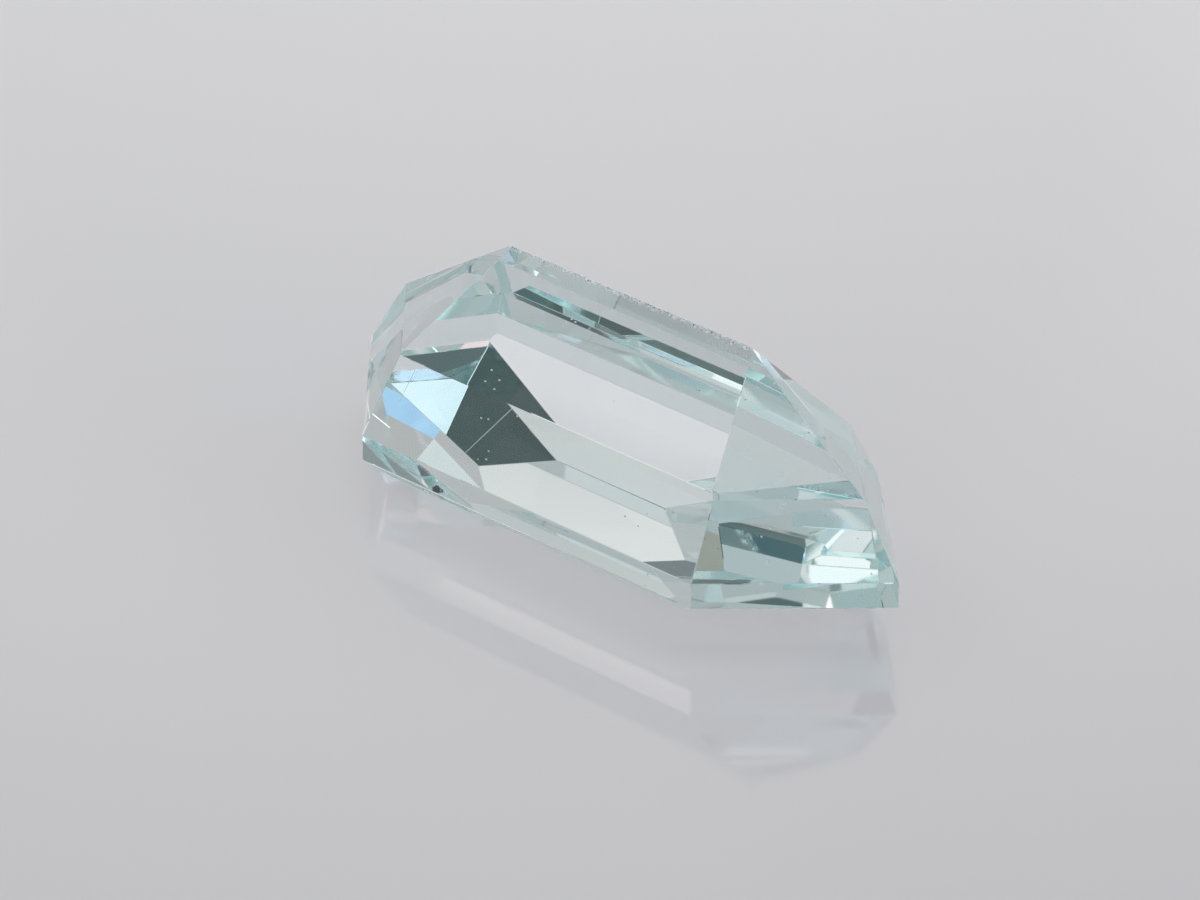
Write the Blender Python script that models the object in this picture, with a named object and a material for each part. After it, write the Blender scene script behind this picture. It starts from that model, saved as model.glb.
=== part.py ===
"""A long six-sided beryl gemstone, cut in steps to a keel and lying on its table.

X runs along the stone, -Y is its front, and Z=0 is the table that it rests on.
Lengths are metres. Facet angles are degrees up or down from the girdle plane.
"""
from math import cos, radians, sin, tan

import bmesh
import bpy
from mathutils import Vector

# The girdle's six corners seen from above, in the order that they follow round the stone
GIRDLE_CORNERS = dict(
    left_front=(-0.00282, -0.00176),
    right_front=(0.00263, -0.00176),
    right_tip=(0.00450, -0.00009),
    right_back=(0.00264, 0.00176),
    left_back=(-0.00289, 0.00176),
    left_tip=(-0.00450, 0.00019),
)

# The six sides, each from one of those corners to the next
SIDES = ("front", "front_right", "back_right", "back", "back_left", "front_left")

# Heights of the tiers: the crown from the table to the girdle, the girdle itself, how far below
# it the crown's slope changes, and how far above it the pavilion's does
CROWN_HEIGHT = 0.00057
GIRDLE_THICKNESS = 0.00035
CROWN_BREAK_DEPTH = dict(zip(SIDES, (0.00012, 0.00014, 0.00012, 0.00018, 0.00024, 0.00023)))
LOWER_STEP_HEIGHT = dict(zip(SIDES, (0.00095, 0.00089, 0.00088, 0.00095, 0.00096, 0.00097)))

# Facet angles of the four tiers, side by side in the same order
CROWN_OUTER_ANGLE = dict(zip(SIDES, (58.1, 29.8, 38.3, 51.2, 43.5, 19.4)))
CROWN_INNER_ANGLE = dict(zip(SIDES, (29.8, 14.6, 14.0, 24.7, 10.2, 14.8)))
LOWER_STEP_ANGLE = dict(zip(SIDES, (58.5, 61.5, 66.5, 61.1, 67.5, 63.5)))
UPPER_STEP_ANGLE = dict(zip(SIDES, (42.9, 43.1, 46.3, 49.5, 43.1, 41.3)))

ROUGH_SIZE = Vector((0.0110, 0.0050, 0.0060))
CUT_TOLERANCE = 1e-8
BERYL_COLOUR = (0.74, 0.90, 0.87, 1.0)
BERYL_REFRACTIVE_INDEX = 1.573


def clear_scene():
    for obj in list(bpy.data.objects):
        bpy.data.objects.remove(obj, do_unlink=True)


def beryl_material():
    material = bpy.data.materials.new("clear_beryl")
    material.use_nodes = True
    shader = material.node_tree.nodes["Principled BSDF"]
    shader.inputs["Base Color"].default_value = BERYL_COLOUR
    shader.inputs["Roughness"].default_value = 0.02
    shader.inputs["Metallic"].default_value = 0.0
    shader.inputs["Transmission Weight"].default_value = 1.0
    shader.inputs["IOR"].default_value = BERYL_REFRACTIVE_INDEX
    return material


def girdle_sides():
    """Each side's outward direction and its distance from the middle of the stone."""
    corners = [Vector(corner) for corner in GIRDLE_CORNERS.values()]
    sides = {}
    for side, start, end in zip(SIDES, corners, corners[1:] + corners[:1]):
        along = (end - start).normalized()
        outward = Vector((along.y, -along.x))
        sides[side] = (outward, outward.dot(start))
    return sides


def cut_facet(stone, outward, reach, height, angle):
    """Grind one flat facet: at this height it stands this far out, and it faces up for a positive angle."""
    slope = radians(abs(angle))
    rise = cos(slope) if angle > 0 else -cos(slope)
    normal = Vector((outward.x * sin(slope), outward.y * sin(slope), rise))
    point = Vector((outward.x * reach, outward.y * reach, height))
    everything = stone.verts[:] + stone.edges[:] + stone.faces[:]
    cut = bmesh.ops.bisect_plane(
        stone, geom=everything, dist=CUT_TOLERANCE, plane_co=point, plane_no=normal, clear_outer=True
    )
    rim = [item for item in cut["geom_cut"] if isinstance(item, bmesh.types.BMEdge)]
    bmesh.ops.contextual_create(stone, geom=rim)


def rough_block(stone):
    """The sawn block that the facets are ground on, standing on the table's plane."""
    made = bmesh.ops.create_cube(stone, size=1.0)
    bmesh.ops.scale(stone, vec=ROUGH_SIZE, verts=made["verts"])
    bmesh.ops.translate(stone, vec=(0, 0, ROUGH_SIZE.z / 2), verts=made["verts"])


def cut_stone():
    stone = bmesh.new()
    rough_block(stone)
    girdle_bottom = CROWN_HEIGHT
    girdle_top = girdle_bottom + GIRDLE_THICKNESS
    sides = girdle_sides()
    for outward, reach in sides.values():
        cut_facet(stone, outward, reach, girdle_bottom, 90)
    for side, (outward, reach) in sides.items():
        step_height = LOWER_STEP_HEIGHT[side]
        cut_facet(stone, outward, reach, girdle_top, LOWER_STEP_ANGLE[side])
        step_reach = reach - step_height / tan(radians(LOWER_STEP_ANGLE[side]))
        cut_facet(stone, outward, step_reach, girdle_top + step_height, UPPER_STEP_ANGLE[side])
    for side, (outward, reach) in sides.items():
        break_depth = CROWN_BREAK_DEPTH[side]
        cut_facet(stone, outward, reach, girdle_bottom, -CROWN_OUTER_ANGLE[side])
        break_reach = reach - break_depth / tan(radians(CROWN_OUTER_ANGLE[side]))
        cut_facet(stone, outward, break_reach, girdle_bottom - break_depth, -CROWN_INNER_ANGLE[side])
    bmesh.ops.recalc_face_normals(stone, faces=stone.faces)
    return stone


def make_gem():
    mesh = bpy.data.meshes.new("beryl_gem")
    stone = cut_stone()
    stone.to_mesh(mesh)
    stone.free()
    mesh.materials.append(beryl_material())
    gem = bpy.data.objects.new("beryl_gem", mesh)
    bpy.context.scene.collection.objects.link(gem)


clear_scene()
make_gem()
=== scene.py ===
from math import cos, radians, sin
from random import Random

import bmesh
import bpy
from mathutils import Matrix, Quaternion, Vector


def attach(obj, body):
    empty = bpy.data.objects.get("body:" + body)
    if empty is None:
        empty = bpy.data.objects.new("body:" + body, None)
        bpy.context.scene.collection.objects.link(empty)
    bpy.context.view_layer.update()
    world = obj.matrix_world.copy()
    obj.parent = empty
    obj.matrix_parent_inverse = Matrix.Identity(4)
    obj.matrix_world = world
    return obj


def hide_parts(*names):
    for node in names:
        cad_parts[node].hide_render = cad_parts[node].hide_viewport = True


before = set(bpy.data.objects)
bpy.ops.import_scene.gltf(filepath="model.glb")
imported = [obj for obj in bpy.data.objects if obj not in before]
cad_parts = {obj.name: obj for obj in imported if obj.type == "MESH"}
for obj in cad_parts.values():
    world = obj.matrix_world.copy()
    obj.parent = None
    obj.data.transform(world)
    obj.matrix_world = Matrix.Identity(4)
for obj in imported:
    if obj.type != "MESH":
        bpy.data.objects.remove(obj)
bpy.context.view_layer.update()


# Camera.
# It looks down on the stone from its right front, from about nine stone lengths away, so that
# the keel runs from the upper left to the middle right and the floor fills the picture.
IMAGE_WIDTH = 1200
IMAGE_PIXEL = 1.27357e-05  # metres that one pixel of the photograph spans at the stone
CAMERA_TURN = 41.86
CAMERA_ELEVATION = 30.10
CAMERA_DISTANCE = 0.08562
CAMERA_AIM = (-0.001416, 0.001130, -0.000017)
CAMERA_ROLL = -0.33
SENSOR_WIDTH = 36.0

across = Vector((cos(radians(CAMERA_TURN)), sin(radians(CAMERA_TURN)), 0))
away = Vector((-sin(radians(CAMERA_TURN)), cos(radians(CAMERA_TURN)), 0))
backwards = Vector((0, 0, sin(radians(CAMERA_ELEVATION)))) - away * cos(radians(CAMERA_ELEVATION))
camera = bpy.data.objects.new("camera", bpy.data.cameras.new("camera"))
bpy.context.scene.collection.objects.link(camera)
camera.location = Vector(CAMERA_AIM) + backwards * CAMERA_DISTANCE
level = backwards.to_track_quat("Z", "Y")
camera.rotation_euler = (level @ Quaternion((0, 0, 1), radians(CAMERA_ROLL))).to_euler()
camera.data.sensor_width = SENSOR_WIDTH
camera.data.lens = SENSOR_WIDTH * CAMERA_DISTANCE / (IMAGE_WIDTH * IMAGE_PIXEL)
camera.data.clip_start = 0.001
camera.data.clip_end = 10
bpy.context.scene.camera = camera


# Gemstone.
# One piece of clear beryl, ground and polished into flat facets. Its edges are very slightly
# rubbed flat by wear, and small chips have come out of the keel and of the other edges.
GEM_CORE = "beryl_gem"
EDGE_WEAR = 0.000006
SAME_PLACE = 1e-7
CUT_TOLERANCE = 1e-8
FLAT_WITHIN = radians(0.5)
SHARP_BEND = radians(3)
KEEL_CHIPS = 72
KEEL_CHIP_SIZE = (0.000012, 0.000064)
EDGE_CHIPS = 26
EDGE_CHIP_SIZE = (0.000010, 0.000026)
CHIP_STRETCH = ((0.9, 2.2), (0.7, 1.2), (0.5, 1.0))
CHIP_TILT = 0.6
CHIP_DENT = 0.12
FULL_TURN = 6.28
KEEL_CROWDING = 0.7  # below 1, the chips crowd towards the keel's right end
CHIPPED_ABOVE = 0.0003
SHORT_EDGE = 0.0002


def chip_tool(tool, place, size, chance):
    """Add one lump that will be cut out of the stone where an edge has chipped."""
    made = bmesh.ops.create_icosphere(tool, subdivisions=2, radius=size)
    stretch = Matrix.Diagonal([chance.uniform(*limits) for limits in CHIP_STRETCH] + [1])
    turn = Matrix.Rotation(chance.uniform(0, FULL_TURN), 4, "Z")
    turn = turn @ Matrix.Rotation(chance.uniform(-CHIP_TILT, CHIP_TILT), 4, "X")
    for vertex in made["verts"]:
        dent = 1 + chance.uniform(-CHIP_DENT, CHIP_DENT)
        vertex.co = place + turn @ stretch @ (vertex.co * dent)


def wear_edges(stone):
    """Rub a narrow flat along every edge, as handling does."""
    flats = []
    for edge in stone.edges:
        first, second = (face.normal for face in edge.link_faces)
        bend = first.angle(second)
        if bend > SHARP_BEND:
            outward = (first + second).normalized()
            flats.append((edge.verts[0].co - outward * EDGE_WEAR * sin(bend / 2), outward))
    for point, outward in flats:
        everything = stone.verts[:] + stone.edges[:] + stone.faces[:]
        cut = bmesh.ops.bisect_plane(
            stone, geom=everything, dist=CUT_TOLERANCE, plane_co=point, plane_no=outward, clear_outer=True
        )
        rim = [item for item in cut["geom_cut"] if isinstance(item, bmesh.types.BMEdge)]
        bmesh.ops.contextual_create(stone, geom=rim)
    bmesh.ops.recalc_face_normals(stone, faces=stone.faces)
    for facet in stone.faces:
        facet.smooth = False


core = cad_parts[GEM_CORE]
stone = bmesh.new()
stone.from_mesh(core.data)
bmesh.ops.remove_doubles(stone, verts=stone.verts, dist=SAME_PLACE)
bmesh.ops.dissolve_limit(stone, angle_limit=FLAT_WITHIN, verts=stone.verts, edges=stone.edges)
top = max(vertex.co.z for vertex in stone.verts)
keel = [vertex.co.copy() for vertex in stone.verts if top - vertex.co.z < 10 * EDGE_WEAR]
keel_ends = (min(keel, key=lambda end: end.x), max(keel, key=lambda end: end.x))
other_edges = [
    [vertex.co.copy() for vertex in edge.verts]
    for edge in stone.edges
    if min(vertex.co.z for vertex in edge.verts) > CHIPPED_ABOVE and edge.calc_length() > SHORT_EDGE
]
wear_edges(stone)
gem_mesh = bpy.data.meshes.new("gemstone")
stone.to_mesh(gem_mesh)
stone.free()
gem = bpy.data.objects.new("gemstone", gem_mesh)
bpy.context.scene.collection.objects.link(gem)

chance = Random(7)
tool = bmesh.new()
for _ in range(KEEL_CHIPS):
    place = keel_ends[0].lerp(keel_ends[1], chance.random() ** KEEL_CROWDING)
    size = chance.uniform(*KEEL_CHIP_SIZE)
    lift = Vector((0, chance.uniform(-0.5, 0.5) * size, chance.uniform(0.35, 0.75) * size))
    chip_tool(tool, place + lift, size, chance)
for _ in range(EDGE_CHIPS):
    start, end = chance.choice(other_edges)
    place = start.lerp(end, chance.random())
    size = chance.uniform(*EDGE_CHIP_SIZE)
    outward = Vector((place.x * 0.4, place.y, place.z - top / 2)).normalized()
    chip_tool(tool, place + outward * size * 0.7, size, chance)
tool_mesh = bpy.data.meshes.new("chips")
tool.to_mesh(tool_mesh)
tool.free()
chips = bpy.data.objects.new("chips", tool_mesh)
bpy.context.scene.collection.objects.link(chips)
cut = gem.modifiers.new("chips", "BOOLEAN")
cut.operation = "DIFFERENCE"
cut.object = chips
cut.use_self = True
bpy.context.view_layer.update()
worn = bpy.data.meshes.new_from_object(gem.evaluated_get(bpy.context.evaluated_depsgraph_get()))
gem.modifiers.clear()
gem.data = worn
gem.visible_shadow = False  # clear beryl lets the lamps through, and casts next to no shadow
bpy.data.objects.remove(chips, do_unlink=True)


class Socket:
    """A shader socket. Values in the materials are written as sums and products of these."""

    def __init__(self, tree, socket=None):
        self.tree = tree
        self.socket = socket

    def node(self, kind, settings=None, output=0, **inputs):
        made = self.tree.nodes.new(kind)
        for name, value in (settings or {}).items():
            setattr(made, name, value)
        for name, value in inputs.items():
            key = int(name[1:]) if name[1:].isdigit() else name.replace("_", " ")
            if isinstance(value, Socket):
                self.tree.links.new(value.socket, made.inputs[key])
            else:
                made.inputs[key].default_value = value
        return Socket(self.tree, made.outputs[output] if made.outputs else None)

    def math(self, operation, *values):
        inputs = {f"i{index}": value for index, value in enumerate(values)}
        return self.node("ShaderNodeMath", {"operation": operation}, **inputs)

    def __add__(self, other):
        return self.math("ADD", self, other)

    __radd__ = __add__

    def __sub__(self, other):
        return self.math("SUBTRACT", self, other)

    def __rsub__(self, other):
        return self.math("SUBTRACT", other, self)

    def __mul__(self, other):
        return self.math("MULTIPLY", self, other)

    __rmul__ = __mul__

    def __truediv__(self, other):
        return self.math("DIVIDE", self, other)

    def __pow__(self, exponent):
        return self.math("POWER", self.math("ABSOLUTE", self), exponent)

    def largest(self, other):
        return self.math("MAXIMUM", self, other)

    def dot(self, vector):
        return self.node("ShaderNodeVectorMath", {"operation": "DOT_PRODUCT"}, output=1, i0=self, i1=vector)

    def smooth(self, low, high):
        """0 below low, 1 above high, with a soft step between."""
        return self.node(
            "ShaderNodeMapRange", {"interpolation_type": "SMOOTHSTEP"},
            i0=self, i1=low, i2=high, i3=0.0, i4=1.0,
        )

    def mix(self, low, high):
        """The colour low where this value is 0 and high where it is 1."""
        return self.node("ShaderNodeMix", {"data_type": "RGBA"}, output=2, i0=self, i6=low, i7=high)

    def away_from(self, start, end):
        """Distance from the nearest point of the straight line between two points."""
        along = end - start
        share = self.node("ShaderNodeMapRange", i0=self.dot(along), i1=start.dot(along), i2=end.dot(along))
        nearest = share.node("ShaderNodeMix", {"data_type": "VECTOR"}, output=1, i0=share, i4=start, i5=end)
        return self.node("ShaderNodeVectorMath", {"operation": "DISTANCE"}, output=1, i0=self, i1=nearest)

    def noise(self, scale, detail):
        return self.node("ShaderNodeTexNoise", Vector=self, Scale=scale, Detail=detail)

    def stretched(self, scale, rotation):
        return self.node(
            "ShaderNodeMapping", {"vector_type": "POINT"}, Vector=self, Rotation=rotation, Scale=scale
        )


REFRACTIVE_INDEX = 1.573
BODY_COLOUR = (0.500, 0.917, 0.892, 1)
BODY_DENSITY = 60.0
GIRDLE_HEIGHTS = (0.00057, 0.00092)
# Grains per metre across, along and up the polishing lines, and how the lines are turned
POLISH_GRAIN = (90000.0, 5000.0, 30000.0)
POLISH_TURN = (0.5, 0.3, 0.2)
GROUND_ROUGHNESS = 0.05
KEEL_ROUGHNESS = 0.22
POLISH_ROUGHNESS = 0.03
DUST_COLOUR = (0.86, 0.90, 0.89, 1)
DUST_GRAINS = 3200.0
SOFT_STEP = 0.00001
SPECK_SIZE = 0.000013
SPECKS = (
    (-0.00134, -0.00096, 0.00207), (-0.00116, -0.00111, 0.00193), (-0.00134, -0.00108, 0.00196),
    (-0.00116, -0.00102, 0.00202), (-0.00118, -0.00134, 0.00161), (-0.00107, -0.00133, 0.00163),
    (-0.00090, -0.00151, 0.00132), (-0.00089, -0.00157, 0.00123), (-0.00067, -0.00123, 0.00178),
    (0.00308, -0.00099, 0.00142), (0.00313, -0.00089, 0.00150), (0.00324, -0.00104, 0.00116),
    (0.00262, -0.00131, 0.00156), (0.00426, -0.00018, 0.00109), (0.00239, -0.00114, 0.00191),
    (-0.00070, -0.00029, 0.00270), (-0.00065, -0.00024, 0.00274), (-0.00058, -0.00025, 0.00273),
    (-0.00071, -0.00033, 0.00266), (-0.00011, -0.00039, 0.00260),
)
# The two ends of the dotted scuff beside the keel
SCUFF = ((0.00135, 0.00008, 0.00303), (0.00190, 0.00006, 0.00301))
# Where each scratch starts and ends, and half its width
SCRATCHES = (
    ((-0.00123, -0.00160, 0.00119), (-0.00078, -0.00120, 0.00183), 0.000009),
    ((-0.00239, -0.00123, 0.00179), (-0.00245, -0.00145, 0.00142), 0.000007),
    ((0.00321, -0.00091, 0.00137), (0.00334, -0.00065, 0.00156), 0.000003),
    ((0.00327, -0.00048, 0.00185), (0.00333, -0.00025, 0.00198), 0.000003),
    ((0.00304, -0.00078, 0.00174), (0.00322, -0.00050, 0.00191), 0.000002),
    ((0.00248, -0.00088, 0.00207), (0.00257, -0.00024, 0.00245), 0.000002),
    ((0.00267, -0.00081, 0.00200), (0.00287, -0.00004, 0.00241), 0.000002),
)

beryl = bpy.data.materials.new("worn_clear_beryl")
beryl.use_nodes = True
beryl_tree = beryl.node_tree
beryl_tree.nodes.clear()
shader = Socket(beryl_tree)
place = shader.node("ShaderNodeTexCoord", output=3)
height = place.dot((0, 0, 1))
on_girdle = height.smooth(GIRDLE_HEIGHTS[0], GIRDLE_HEIGHTS[0] + SOFT_STEP) * (
    1 - height.smooth(GIRDLE_HEIGHTS[1] - SOFT_STEP, GIRDLE_HEIGHTS[1])
)
patches = place.noise(900.0, 3.0)
lines = place.stretched(POLISH_GRAIN, POLISH_TURN).noise(1.0, 3.0)
worn_top = height.smooth(top - 0.00009, top - 0.00001) * place.noise(60000.0, 4.0).smooth(0.45, 0.6)
polish = patches.smooth(0.55, 0.75) * lines.smooth(0.55, 0.75)
roughness = on_girdle * GROUND_ROUGHNESS + worn_top * KEEL_ROUGHNESS + polish * POLISH_ROUGHNESS
specks = place.node("ShaderNodeTexVoronoi", Vector=place, Scale=DUST_GRAINS, Randomness=1.0)
dust = (1 - specks.smooth(0.030, 0.045)) * place.noise(2500.0, 0.0).smooth(0.50, 0.56)
relief = lines * 0.5 + patches * 0.2
bump = shader.node("ShaderNodeBump", Strength=0.01, Distance=0.000002, Height=relief)
clear = shader.node(
    "ShaderNodeBsdfPrincipled",
    Base_Color=(1, 1, 1, 1), Roughness=roughness, IOR=REFRACTIVE_INDEX,
    Transmission_Weight=1.0, Normal=bump,
)
dusty = shader.node("ShaderNodeBsdfPrincipled", Base_Color=DUST_COLOUR, Roughness=0.9)
for speck in SPECKS:
    spot = place.away_from(Vector(speck), Vector(speck) + Vector((SPECK_SIZE, 0, 0)))
    dust = dust.largest(1 - spot.smooth(0.5 * SPECK_SIZE, SPECK_SIZE))
for start, end, half_width in SCRATCHES:
    off = place.away_from(Vector(start), Vector(end))
    dust = dust.largest(0.8 - 0.8 * off.smooth(0.4 * half_width, half_width))
crushed = height.smooth(top - 0.00006, top - 0.00002) * place.noise(38000.0, 3.0).smooth(0.50, 0.56)
scuff = 1 - place.away_from(Vector(SCUFF[0]), Vector(SCUFF[1])).smooth(0.00004, 0.00011)
crushed = crushed.largest(scuff * place.noise(45000.0, 1.0).smooth(0.60, 0.66))
surface = shader.node("ShaderNodeMixShader", i0=dust.largest(crushed * 0.85), i1=clear, i2=dusty)
body = shader.node("ShaderNodeVolumeAbsorption", Color=BODY_COLOUR, Density=BODY_DENSITY)
shader.node("ShaderNodeOutputMaterial", Surface=surface, Volume=body)
worn.materials.clear()
worn.materials.append(beryl)
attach(gem, "root")
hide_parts(GEM_CORE)


# Floor.
# A pale, smooth sheet. Its satin gloss mirrors the stone softly, and the stone lies on it with
# its table down.
FLOOR_COLOUR = (0.72, 0.705, 0.70, 1)
FLOOR_ROUGHNESS = 0.06
FLOOR_REFRACTIVE_INDEX = 1.9
FLOOR_GAP = 0.00002
FLOOR_HALF_SIZE = 0.6

floor_mesh = bpy.data.meshes.new("floor")
quarters = ((-1, -1), (1, -1), (1, 1), (-1, 1))
corners = [(x * FLOOR_HALF_SIZE, y * FLOOR_HALF_SIZE, -FLOOR_GAP) for x, y in quarters]
floor_mesh.from_pydata(corners, [], [(0, 1, 2, 3)])
floor = bpy.data.objects.new("floor", floor_mesh)
bpy.context.scene.collection.objects.link(floor)
satin = bpy.data.materials.new("satin_sheet")
satin.use_nodes = True
satin_tree = satin.node_tree
satin_tree.nodes.clear()
shader = Socket(satin_tree)
sheet = shader.node(
    "ShaderNodeBsdfPrincipled",
    Base_Color=FLOOR_COLOUR, Roughness=FLOOR_ROUGHNESS, IOR=FLOOR_REFRACTIVE_INDEX,
)
shader.node("ShaderNodeOutputMaterial", Surface=sheet)
floor_mesh.materials.append(satin)


# Light.
# A pale tent stands round the stone, open at the top, where the dark ceiling shows. The lamps and
# the black cards round it are soft-edged panels, which the facets pick out one by one. Seen past
# the stone, the tent is one even backdrop.
TENT_LOW = (0.482, 0.473, 0.483, 1)
TENT_HIGH = (0.500, 0.488, 0.494, 1)
TENT_HIGH_FROM = 0.6
CEILING = (0.075, 0.108, 0.112, 1)
BACKDROP = (0.62, 0.61, 0.62, 1)
OPENING_MIDDLE = (0.023, 0.061)
OPENING_HALF_SIZE = (0.582, 0.656)
OPENING_EDGE = 0.105
LEAST_RISE = 0.02
# Direction to the right of the camera's, height, radius and soft edge in degrees, and colour
PANELS = (
    (38.9, 74.2, 15.0, 2.4, (0.84, 1.03, 1.12, 1)),
    (5.7, 23.5, 15.5, 2.3, (0.75, 0.71, 0.71, 1)),
    (94.7, 4.1, 9.4, 2.3, (0.03, 0.09, 0.11, 1)),
    (139.0, 18.1, 14.7, 2.3, (1.57, 1.11, 1.13, 1)),
    (-109.3, 54.1, 9.3, 2.3, (0.07, 0.09, 0.09, 1)),
    (120.3, 43.9, 15.3, 2.3, (0.15, 0.18, 0.19, 1)),
    (-83.6, 25.4, 5.4, 2.3, (0.18, 0.19, 0.20, 1)),
    (-112.7, 10.2, 9.5, 2.3, (0.02, 0.02, 0.02, 1)),
    (-3.6, 1.4, 15.5, 2.3, (0.62, 0.63, 0.63, 1)),
    (-152.2, 12.1, 9.5, 2.3, (0.02, 0.05, 0.06, 1)),
    (5.2, 12.1, 9.4, 2.3, (1.25, 1.10, 1.13, 1)),
    (127.2, 4.0, 9.3, 2.4, (0.07, 0.11, 0.11, 1)),
    (24.3, 6.1, 15.7, 2.3, (0.73, 0.71, 0.72, 1)),
    (-97.8, 11.7, 5.6, 2.3, (0.42, 0.40, 0.41, 1)),
    (-4.3, 35.7, 5.5, 2.3, (0.82, 0.78, 0.78, 1)),
    (-37.7, 66.4, 15.5, 2.3, (0.03, 0.06, 0.06, 1)),
    (-97.2, 23.8, 9.4, 2.3, (0.68, 0.65, 0.66, 1)),
    (-0.5, 26.1, 5.5, 2.3, (0.54, 0.55, 0.55, 1)),
    (-37.5, 20.8, 9.5, 2.3, (0.35, 0.34, 0.30, 1)),
    (38.6, 10.8, 10.0, 2.3, (0.23, 0.27, 0.27, 1)),
    (-51.6, 42.9, 9.4, 2.3, (1.20, 1.10, 1.12, 1)),
    (74.4, 39.4, 9.5, 2.3, (0.40, 0.70, 1.02, 1)),
    (62.7, 15.6, 5.5, 2.3, (1.52, 1.51, 1.51, 1)),
    (28.3, 21.2, 9.5, 2.3, (0.72, 0.69, 0.70, 1)),
    (19.5, 15.4, 3.6, 2.3, (2.14, 1.54, 1.56, 1)),
    (25.1, 17.8, 3.5, 2.3, (0.69, 0.72, 0.73, 1)),
    (146.4, 44.4, 9.7, 2.3, (2.65, 3.20, 4.47, 1)),
    (17.9, 7.2, 9.3, 2.3, (0.91, 0.76, 0.78, 1)),
    (-175.9, 25.1, 5.7, 2.3, (0.01, 0.02, 0.02, 1)),
    (167.7, 28.5, 9.6, 2.3, (1.02, 0.76, 0.77, 1)),
)
SOFT_LIGHT_POWER = 0.0112
SOFT_LIGHT_SIZE = 0.053
SOFT_LIGHT_BEHIND = 0.030
SOFT_LIGHT_HEIGHT = 0.035
LIGHT_BOUNCES = 32

world = bpy.data.worlds.new("studio")
bpy.context.scene.world = world
world.use_nodes = True
world_tree = world.node_tree
world_tree.nodes.clear()
shader = Socket(world_tree)
ray = shader.node("ShaderNodeTexCoord")
rise = ray.dot((0, 0, 1))
steep = rise.largest(LEAST_RISE)
right = (ray.dot(across) / steep - OPENING_MIDDLE[0]) * (1 / OPENING_HALF_SIZE[0])
ahead = (ray.dot(away) / steep - OPENING_MIDDLE[1]) * (1 / OPENING_HALF_SIZE[1])
rim = (right ** 4.0 + ahead ** 4.0) ** 0.25
tent = rise.smooth(0.0, TENT_HIGH_FROM).mix(TENT_LOW, TENT_HIGH)
studio = rim.smooth(1 - OPENING_EDGE / 2, 1 + OPENING_EDGE / 2).mix(CEILING, tent)
for turn, height, radius, edge, colour in PANELS:
    level = across * sin(radians(turn)) + away * cos(radians(turn))
    middle = level * cos(radians(height)) + Vector((0, 0, sin(radians(height))))
    off = shader.math("ARCCOSINE", ray.dot(middle))
    studio = off.smooth(radians(radius - edge / 2), radians(radius + edge / 2)).mix(colour, studio)
seen = shader.node("ShaderNodeLightPath", output=0)
studio = seen.mix(studio, BACKDROP)
background = shader.node("ShaderNodeBackground", Color=studio)
shader.node("ShaderNodeOutputWorld", Surface=background)

soft_light = bpy.data.objects.new("soft_light", bpy.data.lights.new("soft_light", "AREA"))
bpy.context.scene.collection.objects.link(soft_light)
soft_light.data.size = SOFT_LIGHT_SIZE
soft_light.data.energy = SOFT_LIGHT_POWER
soft_light.location = away * SOFT_LIGHT_BEHIND + Vector((0, 0, SOFT_LIGHT_HEIGHT))
soft_light.visible_camera = False
soft_light.visible_glossy = False
soft_light.visible_transmission = False

bpy.context.scene.view_settings.view_transform = "Standard"
bpy.context.scene.cycles.max_bounces = LIGHT_BOUNCES
bpy.context.scene.cycles.transmission_bounces = LIGHT_BOUNCES
bpy.context.scene.cycles.glossy_bounces = LIGHT_BOUNCES
